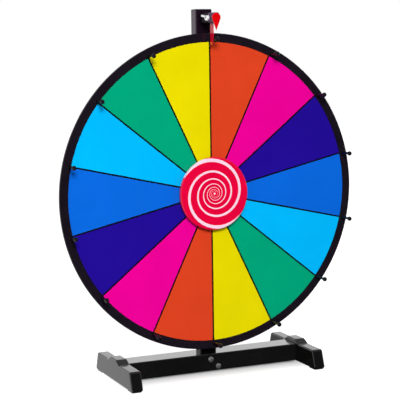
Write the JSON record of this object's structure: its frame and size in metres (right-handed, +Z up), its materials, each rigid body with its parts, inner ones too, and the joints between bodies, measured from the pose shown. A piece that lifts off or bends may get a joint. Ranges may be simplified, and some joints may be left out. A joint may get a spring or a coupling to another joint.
{
  "type": "carnival game wheel",
  "caption": "Tabletop carnival game wheel: a colour wheel on ball bearings with edge pegs that click past a springy red leaf, on a post let into a two-footed base.",
  "frame": {"origin": "on the floor, in the middle of the whole object's box seen from above, which is midway between the feet", "axes": "+X to the right seen from the front, +Y back, +Z up; the wheel faces -Y and turns about Y"},
  "size_m": [0.6096, 0.203, 0.7015],
  "materials": {
    "print_black": "satin black board",
    "trim_black": "satin moulded channel",
    "film_orange": "gloss dry-wipe film",
    "film_magenta": "gloss dry-wipe film",
    "film_navy": "gloss dry-wipe film",
    "film_blue": "gloss dry-wipe film",
    "film_cyan": "gloss dry-wipe film",
    "film_green": "gloss dry-wipe film",
    "film_yellow": "gloss dry-wipe film",
    "peg_black": "black-finished turned steel",
    "hub_alloy": "turned",
    "cover_red": "gloss moulded",
    "spiral_white": "gloss print",
    "bearing_steel": "ground",
    "cage_brass": "plain",
    "zinc_steel": "bright zinc",
    "post_black": "satin powder coat",
    "cap_black": "moulded",
    "base_black": "gloss black lacquer",
    "dowel_wood": "plain beech",
    "pad_rubber": "matt",
    "arm_black": "moulded",
    "leaf_red": "springy sheet",
    "pointer_red": "gloss sheet"
  },
  "bodies": {
    "stand": {"post": "post_black", "post_cap": "cap_black", "crossbar": "base_black", "left_foot": "base_black", "right_foot": "base_black", "dowels": "dowel_wood", "rubber_pads": "pad_rubber", "base_bolts": "zinc_steel", "base_washers": "zinc_steel", "base_nuts": "zinc_steel", "axle_bolt": "zinc_steel", "axle_washers": "zinc_steel", "axle_collars": "zinc_steel", "axle_sleeve": "zinc_steel", "axle_nut": "zinc_steel", "bearing_inner_rings": "bearing_steel", "clicker_arm": "arm_black", "arm_screws": "zinc_steel", "leaf_tab": "leaf_red", "pointer": "pointer_red", "clamp_bolt": "zinc_steel", "clamp_washers": "zinc_steel"},
    "wheel": {"wheel_board": "print_black", "edge_trim": "trim_black", "film_orange": "film_orange", "film_magenta": "film_magenta", "film_navy": "film_navy", "film_blue": "film_blue", "film_cyan": "film_cyan", "film_green": "film_green", "film_yellow": "film_yellow", "pegs": "peg_black", "peg_nuts": "zinc_steel", "hub_housing": "hub_alloy", "hub_screws": "zinc_steel", "hub_nuts": "zinc_steel", "hub_cover": "cover_red", "hub_spiral": "spiral_white", "bearing_outer_rings": "bearing_steel"},
    "ball_sets": {"bearing_cages": "cage_brass", "bearing_balls": "bearing_steel"},
    "leaf": {"clicker_leaf": "leaf_red"},
    "wing": {"wing_nut": "zinc_steel"}
  },
  "joints": [
    {"name": "wheel_spin", "type": "hinge", "parent": "stand", "child": "wheel", "pos_m": [0, -0.0185, 0.351], "axis": [0, 1, 0], "continuous": true},
    {"name": "ball_spin", "type": "hinge", "parent": "stand", "child": "ball_sets", "pos_m": [0, -0.0185, 0.351], "axis": [0, 1, 0], "continuous": true},
    {"name": "leaf_bend", "type": "hinge", "parent": "stand", "child": "leaf", "pos_m": [-0.0033, -0.0375, 0.673], "axis": [0, 1, 0], "range_deg": [0, 40], "stiffness_Nm_per_rad": 0.1},
    {"name": "wing_turn", "type": "hinge", "parent": "stand", "child": "wing", "pos_m": [-0.011, -0.0375, 0.684], "axis": [-1, 0, 0], "range_deg": [0, 270]}
  ],
  "couplings": [
    {"joint": "ball_spin", "follows": "wheel_spin", "ratio": 0.6323}
  ]
}
